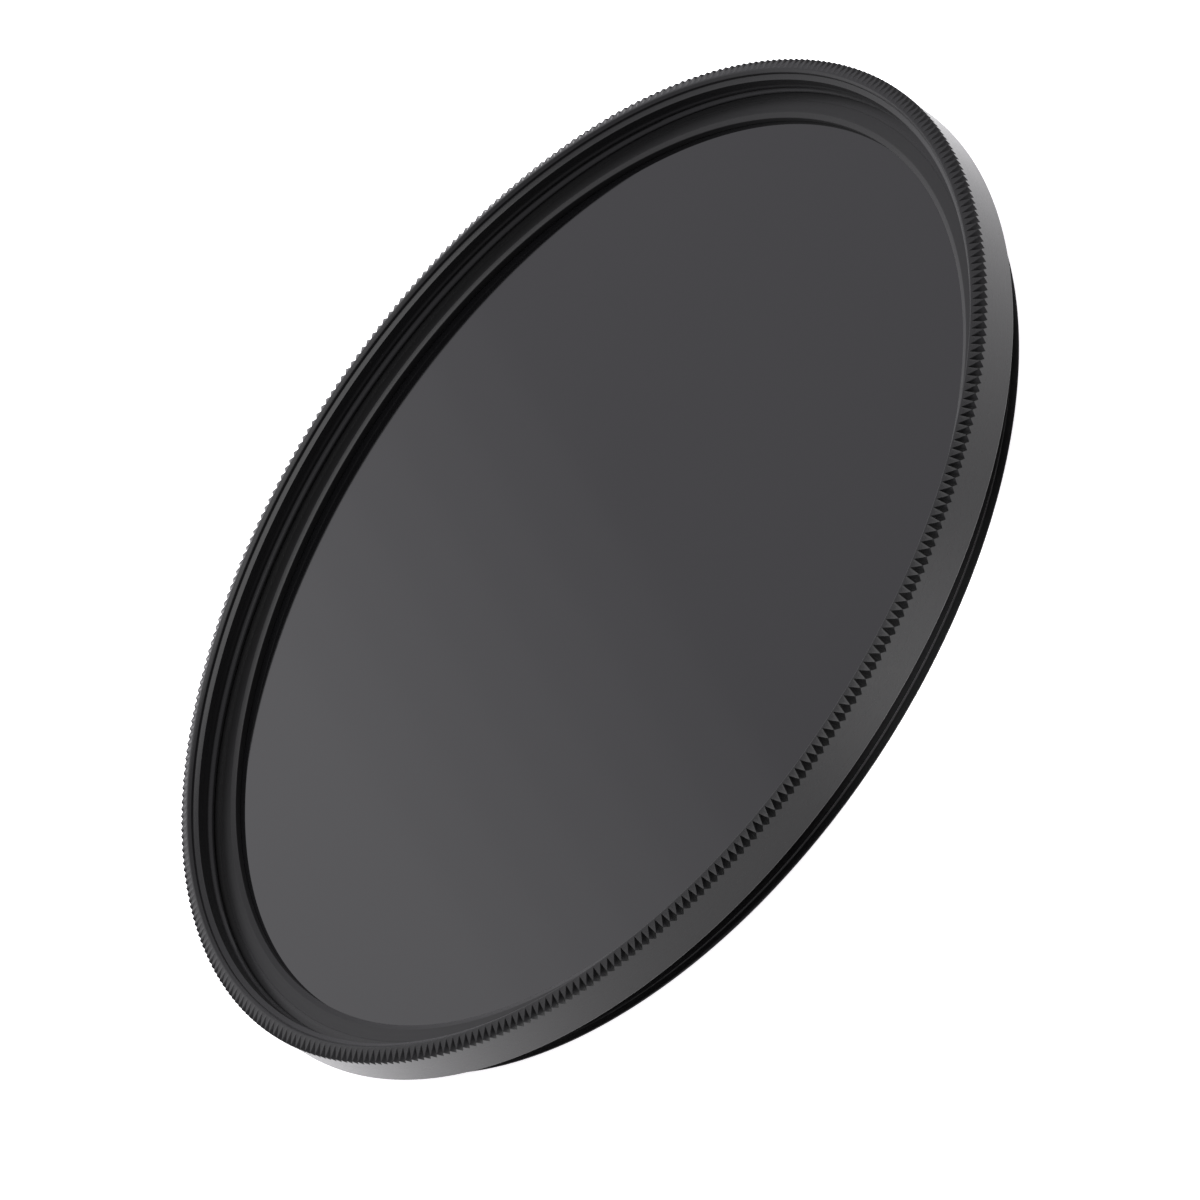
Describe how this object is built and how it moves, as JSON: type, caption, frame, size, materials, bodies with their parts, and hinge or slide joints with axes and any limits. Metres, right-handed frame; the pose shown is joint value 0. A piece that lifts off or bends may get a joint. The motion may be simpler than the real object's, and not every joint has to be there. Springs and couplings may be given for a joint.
{
  "type": "screw-in neutral density lens filter",
  "caption": "Thin black threaded ring with a knurled front edge, holding a round dark grey glass behind a flat retaining ring; screws onto a camera lens to dim the light.",
  "frame": {"origin": "centre of the rear end of the rear thread, on which the filter lies", "axes": "+Z along the optical axis, towards the front of the filter"},
  "size_m": [0.0802, 0.0802, 0.0058],
  "materials": {
    "black_anodised": "satin black anodised, turned",
    "dark_glass": "polished, nearly opaque grey",
    "black_anodised_flat": "matt black anodised"
  },
  "bodies": {
    "root": {"filter_ring": "black_anodised", "nd_glass": "dark_glass", "retaining_ring": "black_anodised_flat"}
  },
  "joints": []
}
